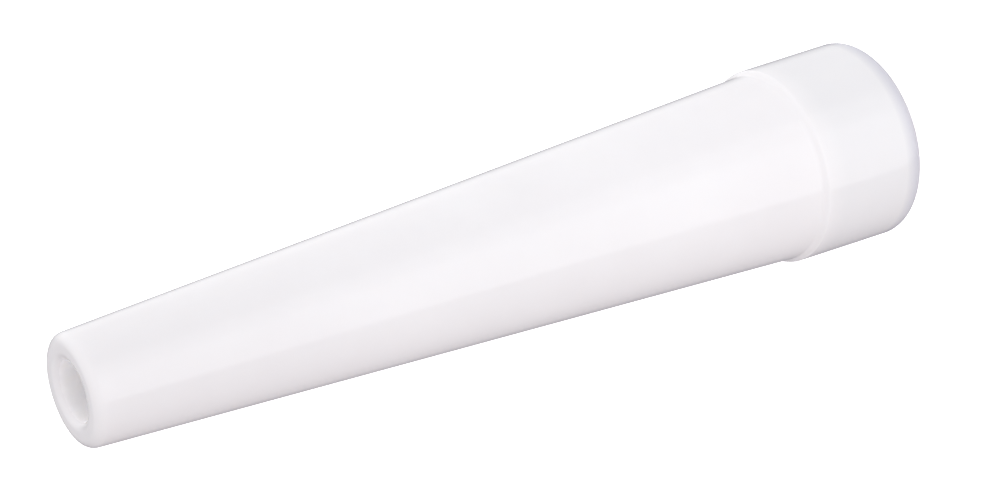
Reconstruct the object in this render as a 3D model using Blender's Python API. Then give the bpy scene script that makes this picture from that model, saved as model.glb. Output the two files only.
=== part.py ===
"""Long ceramic gas nozzle of a TIG torch: one pressed and fired piece, open at both ends.

The nozzle's axis is X. The origin is the centre of the flat rear seat, +X points back into the torch,
and the tip, where the shielding gas leaves, is on the -X side. All lengths are in metres.
"""

from math import acos, cos, pi, radians, sin, tan

import bpy
from mathutils import Matrix, Vector

MM = 0.001

# Outside
LENGTH = 76.2 * MM
COLLAR_LENGTH = 10.05 * MM
COLLAR_REAR_RADIUS = 8.58 * MM
COLLAR_FRONT_RADIUS = 8.46 * MM
COLLAR_EDGE_ROUNDING = 0.35 * MM
REAR_EDGE_ROUNDING = 0.8 * MM
SHOULDER_RUN = 0.45 * MM
SHOULDER_FILLET = 0.6 * MM
BODY_REAR_RADIUS = 8.08 * MM
TIP_RADIUS = 4.54 * MM
TIP_ROUNDING = 0.87 * MM

# Gas passage, from the tip towards the rear
ORIFICE_RADIUS = 2.38 * MM
ORIFICE_ROUNDING = 0.8 * MM
ORIFICE_LAND = 6.0 * MM
CHAMBER_FRONT_RADIUS = 4.8 * MM
CHAMBER_REAR_RADIUS = 5.3 * MM
CHAMBER_LENGTH = 30.0 * MM

# Threaded mouth at the rear: a coarse, rounded, right-hand thread
THREAD_MINOR_RADIUS = 5.65 * MM
THREAD_MAJOR_RADIUS = 6.35 * MM
THREAD_PITCH = 2.1 * MM
THREAD_START = 1.5 * MM
THREAD_TURNS = 4
THREAD_RUN_OUT = 1.2 * MM
THREAD_FADE_TURNS = 0.6
RIDGE_SWING = 0.6
MOUTH_CHAMFER = 0.5 * MM

# Mesh resolution
SEGMENTS = 48
RINGS_PER_TURN = 8
ARC_STEP = radians(22.5)
SHARP_ANGLE = radians(30)

CERAMIC_COLOUR = (0.86, 0.85, 0.865, 1.0)
CERAMIC_ROUGHNESS = 0.12


def rounded_outline(corners):
    """Points of a run of straight lines. A corner is (x, radius, rounding), and a rounding of 0 is sharp."""
    points = [Vector(corners[0][:2])]
    for before, corner, after in zip(corners, corners[1:], corners[2:]):
        here = Vector(corner[:2])
        rounding = corner[2]
        if rounding == 0:
            points.append(here)
            continue
        back = (Vector(before[:2]) - here).normalized()
        ahead = (Vector(after[:2]) - here).normalized()
        half = acos(back.dot(ahead)) / 2
        start = here + back * rounding / tan(half)
        centre = here + (back + ahead).normalized() * rounding / sin(half)
        sweep = pi - 2 * half
        turning = 1 if back.cross(ahead) < 0 else -1
        steps = max(2, round(sweep / ARC_STEP))
        for step in range(steps + 1):
            turn = Matrix.Rotation(turning * sweep * step / steps, 2)
            points.append(centre + turn @ (start - centre))
    points.append(Vector(corners[-1][:2]))
    return points


def section_corners():
    """Corners of the wall's section, from the thread's rear end round the outside to its front end."""
    thread_front = -THREAD_START - THREAD_TURNS * THREAD_PITCH
    chamber_rear = thread_front - THREAD_RUN_OUT
    mouth = [
        (-THREAD_START, THREAD_MAJOR_RADIUS, 0),
        (-MOUTH_CHAMFER, THREAD_MAJOR_RADIUS, 0),
        (0, THREAD_MAJOR_RADIUS + MOUTH_CHAMFER, 0),
    ]
    outside = [
        (0, COLLAR_REAR_RADIUS, REAR_EDGE_ROUNDING),
        (-COLLAR_LENGTH, COLLAR_FRONT_RADIUS, COLLAR_EDGE_ROUNDING),
        (-COLLAR_LENGTH - SHOULDER_RUN, BODY_REAR_RADIUS, SHOULDER_FILLET),
        (-LENGTH, TIP_RADIUS, TIP_ROUNDING),
    ]
    passage = [
        (-LENGTH, ORIFICE_RADIUS, ORIFICE_ROUNDING),
        (-LENGTH + ORIFICE_LAND, ORIFICE_RADIUS, 0),
        (chamber_rear - CHAMBER_LENGTH, CHAMBER_FRONT_RADIUS, 0),
        (chamber_rear, CHAMBER_REAR_RADIUS, 0),
        (thread_front, THREAD_MAJOR_RADIUS, 0),
    ]
    return mouth + outside + passage


def smooth(value):
    value = max(0.0, min(1.0, value))
    return value * value * (3 - 2 * value)


def thread_radius(x, angle):
    """Wall radius of the coarse, rounded thread, whose ridge fades in and out at its ends."""
    turn = (-x - THREAD_START) / THREAD_PITCH
    fade = smooth(turn / THREAD_FADE_TURNS) * smooth((THREAD_TURNS - turn) / THREAD_FADE_TURNS)
    ridge = smooth(0.5 + RIDGE_SWING * cos(2 * pi * x / THREAD_PITCH - angle))
    return THREAD_MAJOR_RADIUS - (THREAD_MAJOR_RADIUS - THREAD_MINOR_RADIUS) * ridge * fade


def ring(x, radius_at):
    """One ring of points round the axis. radius_at gives the radius at an angle."""
    points = []
    for segment in range(SEGMENTS):
        angle = 2 * pi * segment / SEGMENTS
        radius = radius_at(angle)
        points.append((x, radius * cos(angle), radius * sin(angle)))
    return points


def nozzle_rings():
    """Closed loop of rings round the wall's section: mouth, outside, tip, gas passage and thread."""
    rings = []
    for x, radius in rounded_outline(section_corners()):
        rings.append(ring(x, lambda angle, radius=radius: radius))
    for step in range(THREAD_TURNS * RINGS_PER_TURN - 1, 0, -1):
        x = -THREAD_START - THREAD_PITCH * step / RINGS_PER_TURN
        rings.append(ring(x, lambda angle, x=x: thread_radius(x, angle)))
    return rings


def mesh_from_rings(name, rings):
    """Joins each ring to the next, and the last to the first, with the faces pointing out of the wall."""
    vertices = [point for points in rings for point in points]
    faces = []
    for row in range(len(rings)):
        here = row * SEGMENTS
        there = (row + 1) % len(rings) * SEGMENTS
        for segment in range(SEGMENTS):
            following = (segment + 1) % SEGMENTS
            faces.append((here + segment, there + segment, there + following, here + following))
    mesh = bpy.data.meshes.new(name)
    mesh.from_pydata(vertices, [], faces)
    return mesh


def ceramic_material():
    material = bpy.data.materials.new("ceramic")
    material.use_nodes = True
    shader = material.node_tree.nodes["Principled BSDF"]
    shader.inputs["Base Color"].default_value = CERAMIC_COLOUR
    shader.inputs["Roughness"].default_value = CERAMIC_ROUGHNESS
    shader.inputs["Metallic"].default_value = 0.0
    return material


def make_gas_nozzle():
    mesh = mesh_from_rings("gas_nozzle", nozzle_rings())
    mesh.materials.append(ceramic_material())
    mesh.shade_smooth()
    mesh.set_sharp_from_angle(angle=SHARP_ANGLE)
    nozzle = bpy.data.objects.new("gas_nozzle", mesh)
    bpy.context.scene.collection.objects.link(nozzle)


def clear_scene():
    for existing in list(bpy.data.objects):
        bpy.data.objects.remove(existing, do_unlink=True)


clear_scene()
make_gas_nozzle()
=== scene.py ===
"""Looks of the long ceramic gas nozzle: a fine mesh with a real thread, glazed white alumina, studio light.

The nozzle's axis is X. The rear seat is at x = 0 and the tip is on the -X side. Lengths are in metres.
"""

from math import acos, atan2, cos, pi, radians, sin, tan

import bpy
from mathutils import Euler, Matrix, Vector

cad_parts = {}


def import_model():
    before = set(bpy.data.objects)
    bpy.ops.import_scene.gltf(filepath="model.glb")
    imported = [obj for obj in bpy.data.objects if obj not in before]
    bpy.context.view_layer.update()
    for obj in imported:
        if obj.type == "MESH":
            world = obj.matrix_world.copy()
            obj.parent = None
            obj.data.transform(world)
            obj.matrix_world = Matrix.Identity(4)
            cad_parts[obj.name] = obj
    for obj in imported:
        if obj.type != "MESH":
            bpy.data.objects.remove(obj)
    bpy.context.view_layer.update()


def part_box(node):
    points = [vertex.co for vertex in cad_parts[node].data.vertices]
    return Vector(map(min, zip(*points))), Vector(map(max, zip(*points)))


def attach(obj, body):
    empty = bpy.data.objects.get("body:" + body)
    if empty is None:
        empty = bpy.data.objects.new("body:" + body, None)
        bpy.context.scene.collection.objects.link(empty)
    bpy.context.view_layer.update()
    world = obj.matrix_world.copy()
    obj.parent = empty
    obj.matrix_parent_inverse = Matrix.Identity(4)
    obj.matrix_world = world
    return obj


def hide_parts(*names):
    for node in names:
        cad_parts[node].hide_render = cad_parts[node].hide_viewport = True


MM = 0.001

# The outside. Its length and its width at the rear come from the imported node's box.
COLLAR_LENGTH = 10.05 * MM
COLLAR_DRAFT = 0.12 * MM
COLLAR_EDGE_ROUNDING = 0.35 * MM
REAR_EDGE_ROUNDING = 0.8 * MM
SHOULDER_RUN = 0.45 * MM
SHOULDER_FILLET = 0.6 * MM
BODY_REAR_RADIUS = 8.08 * MM
TIP_RADIUS = 4.54 * MM
TIP_ROUNDING = 0.87 * MM

# The gas passage
ORIFICE_RADIUS = 2.38 * MM
ORIFICE_ROUNDING = 0.8 * MM
ORIFICE_LAND = 6.0 * MM
CHAMBER_FRONT_RADIUS = 4.8 * MM
CHAMBER_REAR_RADIUS = 5.3 * MM
CHAMBER_LENGTH = 30.0 * MM
PASSAGE_ROUNDING = 3.0 * MM

# The threaded mouth
THREAD_MINOR_RADIUS = 5.65 * MM
THREAD_MAJOR_RADIUS = 6.35 * MM
THREAD_PITCH = 2.1 * MM
THREAD_START = 1.5 * MM
THREAD_TURNS = 4
THREAD_RUN_OUT = 1.2 * MM
THREAD_FADE_TURNS = 0.6
RIDGE_SWING = 0.6
MOUTH_CHAMFER = 0.5 * MM
MOUTH_ROUNDING = 0.1 * MM

# Mesh fineness
SEGMENTS = 240
RINGS_PER_TURN = 24
ARC_STEP = radians(7)
LONGEST_STRETCH = 1.5 * MM

# How far the glaze rolls over the orifice's lip, how far under the outside it counts as inside, and the
# stretches of the axis over which the painted shade at the tip, the collar and the rear edge fades in
LIP_GLAZE_FADE = 0.8 * MM
GLAZE_DEPTH = 1.2 * MM
RIM_PAINTED_SHADE_X = (-1.8 * MM, -0.4 * MM)
COLLAR_PAINTED_SHADE_X = (-10.5 * MM, -8.05 * MM)
TIP_PAINTED_SHADE_X = (-50 * MM, -74 * MM)

# Colours, the two of a pair blending in soft clouds, and the bare ceramic's in grains. The tip's, the
# collar's and the rear edge's colours are painted shade: darker than the body, the latter two also bluer.
BODY_COLOURS = ((0.850, 0.838, 0.852, 1), (0.875, 0.865, 0.878, 1))
TIP_PAINTED_SHADE_COLOURS = ((0.800, 0.788, 0.802, 1), (0.822, 0.812, 0.825, 1))
COLLAR_PAINTED_SHADE_COLOURS = ((0.802, 0.801, 0.815, 1), (0.822, 0.821, 0.835, 1))
RIM_PAINTED_SHADE_COLOUR = (0.58, 0.58, 0.65, 1)
BARE_COLOURS = ((0.95, 0.925, 0.94, 1), (0.98, 0.955, 0.97, 1))
PAPER_COLOURS = ((0.93, 0.93, 0.93, 1), (0.95, 0.95, 0.95, 1))

# Grain and finish. A scale is in features per metre, and a pair is the range that the pattern gives.
CLOUD_SCALE = 90
GRAIN_SCALE = 2600
WAVE_SCALE = 260
PAPER_SCALE = 900
GLAZE_ROUGHNESS = (0.06, 0.09)
BARE_ROUGHNESS = (0.45, 0.6)
WAVE_STRENGTH = 0.12
WAVE_HEIGHT = 0.04 * MM
GRAIN_STRENGTH = 0.08
GRAIN_HEIGHT = 0.01 * MM
GLAZE_IOR = 1.5
GLAZED_SCATTER = 0.3
BARE_SCATTER = 1.0
SCATTER_SCALE = 3.0 * MM
SCATTER_RADIUS = (1.0, 0.95, 0.9)

# Camera
CAMERA_AZIMUTH = radians(-33.48)
CAMERA_ELEVATION = radians(29.15)
CAMERA_DISTANCE = 254.5 * MM
CAMERA_AIM_OFFSET = Vector((0.676, 0.045, 0.76)) * MM
CAMERA_LENS = 113.1
CAMERA_CLIP_START = 0.01

# Floor
FLOOR_SIZE = 4.0
FLOOR_GAP = 0.1 * MM
FLOOR_GLOW = 0.7

# Light: two softbox panels, and a surround whose colour depends on the direction
SOFTBOX_TOWARDS = Vector((0.47, -0.67, 0.574))
SOFTBOX_DISTANCE = 0.25
SOFTBOX_SIDEWAYS = -0.148
SOFTBOX_LOWER_EDGE = -0.222
SOFTBOX_ROLL = radians(-15.5)
SOFTBOX_WIDTH = 0.36
SOFTBOX_HEIGHTS = (0.29, 0.38)
SOFTBOX_STAGGER = 0.001
SOFTBOX_RADIANCE = 0.57
WORLD_ABOVE_FRONT = (0.61, 0.60, 0.61, 1)
WORLD_ABOVE_BACK = (1.36, 1.35, 1.36, 1)
WORLD_BELOW_FRONT = (0.78, 0.72, 0.725, 1)
WORLD_BELOW_BACK = (0.26, 0.25, 0.28, 1)
WORLD_PAST_TIP = (1.20, 1.19, 1.20, 1)
WORLD_BELOW_TIP = (0.76, 0.74, 0.76, 1)
WORLD_PAST_COLLAR = (0.22, 0.22, 0.27, 1)
WORLD_HEIGHTS = (-0.3, 0.1)
WORLD_DEPTHS = (-0.2, 0.6)
WORLD_TIP_SIDE = (-0.2, -0.8)
WORLD_COLLAR_SIDE = (0.4, 0.9)


def rounded_outline(corners):
    """Points of a run of straight lines whose inner corners are arcs. A corner is (x, radius, rounding)."""
    points = [Vector(corners[0][:2])]
    for before, corner, after in zip(corners, corners[1:], corners[2:]):
        here = Vector(corner[:2])
        back = (Vector(before[:2]) - here).normalized()
        ahead = (Vector(after[:2]) - here).normalized()
        half = acos(max(-1.0, min(1.0, back.dot(ahead)))) / 2
        start = here + back * corner[2] / tan(half)
        centre = here + (back + ahead).normalized() * corner[2] / sin(half)
        sweep = pi - 2 * half
        turning = 1 if back.cross(ahead) < 0 else -1
        steps = max(2, round(sweep / ARC_STEP))
        for step in range(steps + 1):
            turn = Matrix.Rotation(turning * sweep * step / steps, 2)
            points.append(centre + turn @ (start - centre))
    points.append(Vector(corners[-1][:2]))
    return points


def split_long_stretches(points):
    """Adds points so that no two neighbours are further apart than LONGEST_STRETCH."""
    fine = [points[0]]
    for here, there in zip(points, points[1:]):
        pieces = int((there - here).length // LONGEST_STRETCH) + 1
        fine += [here.lerp(there, piece / pieces) for piece in range(1, pieces + 1)]
    return fine


def section_corners(length, collar_radius):
    """Corners of the wall's section from the mouth, over the outside and tip, to the thread's front end."""
    thread_front = -THREAD_START - THREAD_TURNS * THREAD_PITCH
    chamber_rear = thread_front - THREAD_RUN_OUT
    return [
        (-THREAD_START, THREAD_MAJOR_RADIUS, 0),
        (-MOUTH_CHAMFER, THREAD_MAJOR_RADIUS, MOUTH_ROUNDING),
        (0, THREAD_MAJOR_RADIUS + MOUTH_CHAMFER, MOUTH_ROUNDING),
        (0, collar_radius, REAR_EDGE_ROUNDING),
        (-COLLAR_LENGTH, collar_radius - COLLAR_DRAFT, COLLAR_EDGE_ROUNDING),
        (-COLLAR_LENGTH - SHOULDER_RUN, BODY_REAR_RADIUS, SHOULDER_FILLET),
        (-length, TIP_RADIUS, TIP_ROUNDING),
        (-length, ORIFICE_RADIUS, ORIFICE_ROUNDING),
        (-length + ORIFICE_LAND, ORIFICE_RADIUS, PASSAGE_ROUNDING),
        (chamber_rear - CHAMBER_LENGTH, CHAMBER_FRONT_RADIUS, PASSAGE_ROUNDING),
        (chamber_rear, CHAMBER_REAR_RADIUS, MOUTH_ROUNDING),
        (thread_front, THREAD_MAJOR_RADIUS, 0),
    ]


def smooth(value):
    value = max(0.0, min(1.0, value))
    return value * value * (3 - 2 * value)


def thread_radius(x, angle):
    """Wall radius of the coarse, rounded, right-hand thread, whose ridge fades in and out at its ends."""
    turn = (-x - THREAD_START) / THREAD_PITCH
    fade = smooth(turn / THREAD_FADE_TURNS) * smooth((THREAD_TURNS - turn) / THREAD_FADE_TURNS)
    ridge = smooth(0.5 + RIDGE_SWING * cos(2 * pi * x / THREAD_PITCH - angle))
    return THREAD_MAJOR_RADIUS - (THREAD_MAJOR_RADIUS - THREAD_MINOR_RADIUS) * ridge * fade


def ring(x, radius_at):
    """One ring of points round the axis. radius_at gives the radius at an angle."""
    points = []
    for segment in range(SEGMENTS):
        angle = 2 * pi * segment / SEGMENTS
        radius = radius_at(angle)
        points.append((x, radius * cos(angle), radius * sin(angle)))
    return points


def bare_at(x, radius, length, collar_radius):
    """The glaze covers the outside and the orifice's lip. The rear seat and the passage are bare."""
    rear_edge = collar_radius - REAR_EDGE_ROUNDING
    if x > -MOUTH_CHAMFER and radius <= rear_edge:
        return 1.0
    if radius > rear_edge and x > -REAR_EDGE_ROUNDING:
        return smooth(1 + x / REAR_EDGE_ROUNDING)
    outside_radius = TIP_RADIUS + (BODY_REAR_RADIUS - TIP_RADIUS) * (x + length) / (length - COLLAR_LENGTH)
    if radius < outside_radius - GLAZE_DEPTH:
        return smooth((x + length) / LIP_GLAZE_FADE)
    return 0.0


def nozzle_rings(length, collar_radius):
    """Closed loop of rings round the wall's section, and how bare of glaze each one is, from 0 to 1."""
    rings = []
    bareness = []
    outline = split_long_stretches(rounded_outline(section_corners(length, collar_radius)))
    for x, radius in outline:
        rings.append(ring(x, lambda angle, radius=radius: radius))
        bareness.append(bare_at(x, radius, length, collar_radius))
    steps = THREAD_TURNS * RINGS_PER_TURN
    for step in range(steps - 1, 0, -1):
        x = -THREAD_START - THREAD_PITCH * step / RINGS_PER_TURN
        rings.append(ring(x, lambda angle, x=x: thread_radius(x, angle)))
        bareness.append(1.0)
    return rings, bareness


def mesh_from_rings(name, rings, bareness):
    """Joins each ring to the next, and the last to the first, with the faces pointing out of the wall."""
    vertices = [point for points in rings for point in points]
    faces = []
    for row in range(len(rings)):
        here = row * SEGMENTS
        there = (row + 1) % len(rings) * SEGMENTS
        for segment in range(SEGMENTS):
            following = (segment + 1) % SEGMENTS
            faces.append((here + segment, there + segment, there + following, here + following))
    mesh = bpy.data.meshes.new(name)
    mesh.from_pydata(vertices, [], faces)
    bare = mesh.attributes.new("bare", "FLOAT", "POINT")
    bare.data.foreach_set("value", [value for value in bareness for _ in range(SEGMENTS)])
    mesh.shade_smooth()
    return mesh


def link(tree, source, target):
    tree.links.new(source, target)


def add(tree, kind, **settings):
    """Adds a shader node and sets its properties."""
    node = tree.nodes.new(kind)
    for name, value in settings.items():
        setattr(node, name, value)
    return node


def noise(tree, coordinates, scale, detail, roughness=0.5):
    """Noise with about scale features to the metre."""
    node = add(tree, "ShaderNodeTexNoise")
    link(tree, coordinates, node.inputs["Vector"])
    node.inputs["Scale"].default_value = scale
    node.inputs["Detail"].default_value = detail
    node.inputs["Roughness"].default_value = roughness
    return node.outputs["Fac"]


def remap(tree, value, low, high, to_low=0.0, to_high=1.0):
    """Stretches low to high onto to_low to to_high, and holds those at the ends."""
    node = add(tree, "ShaderNodeMapRange")
    link(tree, value, node.inputs["Value"])
    node.inputs["From Min"].default_value = low
    node.inputs["From Max"].default_value = high
    node.inputs["To Min"].default_value = to_low
    node.inputs["To Max"].default_value = to_high
    return node.outputs["Result"]


def mix_colour(tree, factor, first, second):
    """Mixes two colours, each a socket or four numbers."""
    node = add(tree, "ShaderNodeMix", data_type="RGBA")
    link(tree, factor, node.inputs["Factor"])
    for socket, colour in ((node.inputs[6], first), (node.inputs[7], second)):
        if isinstance(colour, tuple):
            socket.default_value = colour
        else:
            link(tree, colour, socket)
    return node.outputs[2]


def mix_number(tree, factor, first, second):
    """Mixes two values, each a socket or a number."""
    node = add(tree, "ShaderNodeMix", data_type="FLOAT")
    link(tree, factor, node.inputs["Factor"])
    for socket, number in ((node.inputs[2], first), (node.inputs[3], second)):
        if isinstance(number, float):
            socket.default_value = number
        else:
            link(tree, number, socket)
    return node.outputs[0]


def bump(tree, height, strength, distance, before=None):
    """Bends the normal by a height pattern, on top of an earlier bump if there is one."""
    node = add(tree, "ShaderNodeBump")
    link(tree, height, node.inputs["Height"])
    node.inputs["Strength"].default_value = strength
    node.inputs["Distance"].default_value = distance
    if before is not None:
        link(tree, before, node.inputs["Normal"])
    return node.outputs["Normal"]


def glazed_alumina():
    """Fired white alumina under a thin clear glaze, which leaves the seat and the passage bare."""
    material = bpy.data.materials.new("glazed_alumina")
    material.use_nodes = True
    tree = material.node_tree
    shader = tree.nodes["Principled BSDF"]
    coordinates = add(tree, "ShaderNodeTexCoord").outputs["Object"]
    bare = add(tree, "ShaderNodeAttribute", attribute_name="bare").outputs["Fac"]

    clouds = remap(tree, noise(tree, coordinates, CLOUD_SCALE, 3.0), 0.35, 0.65)
    grain = remap(tree, noise(tree, coordinates, GRAIN_SCALE, 3.0, 0.6), 0.3, 0.7)

    place = add(tree, "ShaderNodeSeparateXYZ")
    link(tree, coordinates, place.inputs[0])
    along = place.outputs["X"]
    glazed = mix_colour(tree, clouds, *BODY_COLOURS)
    # Painted shade: the colour darkens towards the tip, where the light is weaker
    tip = remap(tree, along, *TIP_PAINTED_SHADE_X)
    glazed = mix_colour(tree, tip, glazed, mix_colour(tree, clouds, *TIP_PAINTED_SHADE_COLOURS))
    # Painted shade: the collar is darker and bluer than the body
    collar = remap(tree, along, *COLLAR_PAINTED_SHADE_X)
    glazed = mix_colour(tree, collar, glazed, mix_colour(tree, clouds, *COLLAR_PAINTED_SHADE_COLOURS))
    # Painted shade: a dark blue-grey band along the rounded rear edge
    rim_shade = remap(tree, along, *RIM_PAINTED_SHADE_X)
    glazed = mix_colour(tree, rim_shade, glazed, RIM_PAINTED_SHADE_COLOUR)
    bare_colour = mix_colour(tree, grain, *BARE_COLOURS)
    link(tree, mix_colour(tree, bare, glazed, bare_colour), shader.inputs["Base Color"])

    glazed_roughness = remap(tree, clouds, 0.0, 1.0, *GLAZE_ROUGHNESS)
    bare_roughness = remap(tree, grain, 0.0, 1.0, *BARE_ROUGHNESS)
    link(tree, mix_number(tree, bare, glazed_roughness, bare_roughness), shader.inputs["Roughness"])

    waves = bump(tree, noise(tree, coordinates, WAVE_SCALE, 1.0), WAVE_STRENGTH, WAVE_HEIGHT)
    link(tree, bump(tree, grain, GRAIN_STRENGTH, GRAIN_HEIGHT, waves), shader.inputs["Normal"])

    shader.inputs["IOR"].default_value = GLAZE_IOR
    scatter = mix_number(tree, bare, GLAZED_SCATTER, BARE_SCATTER)
    link(tree, scatter, shader.inputs["Subsurface Weight"])
    shader.inputs["Subsurface Radius"].default_value = SCATTER_RADIUS
    shader.inputs["Subsurface Scale"].default_value = SCATTER_SCALE
    return material


def make_nozzle():
    """The fine mesh that stands for the CAD node, with the length and the collar width of its box."""
    low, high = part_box("gas_nozzle")
    rings, bareness = nozzle_rings(high.x - low.x, high.z)
    mesh = mesh_from_rings("gas_nozzle_ceramic", rings, bareness)
    mesh.materials.append(glazed_alumina())
    nozzle = bpy.data.objects.new("gas_nozzle_ceramic", mesh)
    bpy.context.scene.collection.objects.link(nozzle)
    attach(nozzle, "root")
    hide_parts("gas_nozzle")


def make_camera(middle):
    """Looks at the nozzle's tip and left side from above."""
    aim = middle + CAMERA_AIM_OFFSET
    sideways = Vector((sin(CAMERA_AZIMUTH), -cos(CAMERA_AZIMUTH), 0))
    backwards = sideways * cos(CAMERA_ELEVATION) + Vector((0, 0, sin(CAMERA_ELEVATION)))
    data = bpy.data.cameras.new("camera")
    data.lens = CAMERA_LENS
    data.clip_start = CAMERA_CLIP_START
    camera = bpy.data.objects.new("camera", data)
    camera.location = aim + backwards * CAMERA_DISTANCE
    camera.rotation_euler = (-backwards).to_track_quat("-Z", "Y").to_euler()
    bpy.context.scene.collection.objects.link(camera)
    bpy.context.scene.camera = camera


def make_softbox(middle):
    """Two overlapping panels with one lower edge: the light ends sharply below and fades out above."""
    aim = (-SOFTBOX_TOWARDS).to_track_quat("-Z", "Y").to_matrix()
    edge = middle + aim @ Vector((SOFTBOX_SIDEWAYS, SOFTBOX_LOWER_EDGE, SOFTBOX_DISTANCE))
    facing = aim @ Matrix.Rotation(SOFTBOX_ROLL, 3, "Z")
    for number, height in enumerate(SOFTBOX_HEIGHTS):
        data = bpy.data.lights.new(f"softbox_{number}", "AREA")
        data.shape = "RECTANGLE"
        data.size = SOFTBOX_WIDTH
        data.size_y = height
        data.energy = SOFTBOX_RADIANCE * pi * SOFTBOX_WIDTH * height
        light = bpy.data.objects.new(f"softbox_{number}", data)
        light.location = edge + facing @ Vector((0, height / 2, -SOFTBOX_STAGGER * number))
        light.rotation_euler = facing.to_euler()
        bpy.context.scene.collection.objects.link(light)


def make_world():
    """A pale studio: brightest above and behind the nozzle, dim below and behind it and past its collar."""
    world = bpy.data.worlds.new("studio")
    world.use_nodes = True
    tree = world.node_tree
    background = tree.nodes["Background"]
    direction = add(tree, "ShaderNodeSeparateXYZ")
    link(tree, add(tree, "ShaderNodeTexCoord").outputs["Generated"], direction.inputs[0])
    height = remap(tree, direction.outputs["Z"], *WORLD_HEIGHTS)
    depth = remap(tree, direction.outputs["Y"], *WORLD_DEPTHS)
    below = mix_colour(tree, depth, WORLD_BELOW_FRONT, WORLD_BELOW_BACK)
    above = mix_colour(tree, depth, WORLD_ABOVE_FRONT, WORLD_ABOVE_BACK)
    past_tip = remap(tree, direction.outputs["X"], *WORLD_TIP_SIDE)
    tip_side = mix_colour(tree, height, WORLD_BELOW_TIP, WORLD_PAST_TIP)
    around = mix_colour(tree, past_tip, mix_colour(tree, height, below, above), tip_side)
    past_collar = remap(tree, direction.outputs["X"], *WORLD_COLLAR_SIDE)
    link(tree, mix_colour(tree, past_collar, around, WORLD_PAST_COLLAR), background.inputs["Color"])
    bpy.context.scene.world = world


def floor_material():
    """White paper that glows a little, so that it stays pale round the nozzle."""
    material = bpy.data.materials.new("floor_white")
    material.use_nodes = True
    tree = material.node_tree
    shader = tree.nodes["Principled BSDF"]
    coordinates = add(tree, "ShaderNodeTexCoord").outputs["Object"]
    paper = remap(tree, noise(tree, coordinates, PAPER_SCALE, 3.0), 0.3, 0.7)
    link(tree, mix_colour(tree, paper, *PAPER_COLOURS), shader.inputs["Base Color"])
    shader.inputs["Roughness"].default_value = 0.9
    shader.inputs["Specular IOR Level"].default_value = 0.1
    shader.inputs["Emission Color"].default_value = (1, 1, 1, 1)
    shader.inputs["Emission Strength"].default_value = FLOOR_GLOW
    return material


def make_floor():
    """A plane just under the collar's front edge and the tip, where the lying nozzle rests."""
    low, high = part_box("gas_nozzle")
    collar = Vector((-COLLAR_LENGTH, -high.z))
    tip = Vector((low.x + TIP_ROUNDING, -TIP_RADIUS))
    slope = atan2(collar.y - tip.y, collar.x - tip.x)
    mesh = bpy.data.meshes.new("floor")
    half = FLOOR_SIZE / 2
    corners = [(-half, -half, 0), (half, -half, 0), (half, half, 0), (-half, half, 0)]
    mesh.from_pydata(corners, [], [(0, 1, 2, 3)])
    mesh.materials.append(floor_material())
    floor = bpy.data.objects.new("floor", mesh)
    floor.location = (collar.x, 0, collar.y - FLOOR_GAP)
    floor.rotation_euler = Euler((0, -slope, 0))
    bpy.context.scene.collection.objects.link(floor)
    floor.visible_diffuse = False
    floor.visible_glossy = False
    floor.visible_shadow = False


def main():
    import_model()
    low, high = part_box("gas_nozzle")
    middle = (low + high) / 2
    bpy.context.scene.view_settings.view_transform = "Standard"
    make_nozzle()
    make_camera(middle)
    make_softbox(middle)
    make_world()
    make_floor()


main()
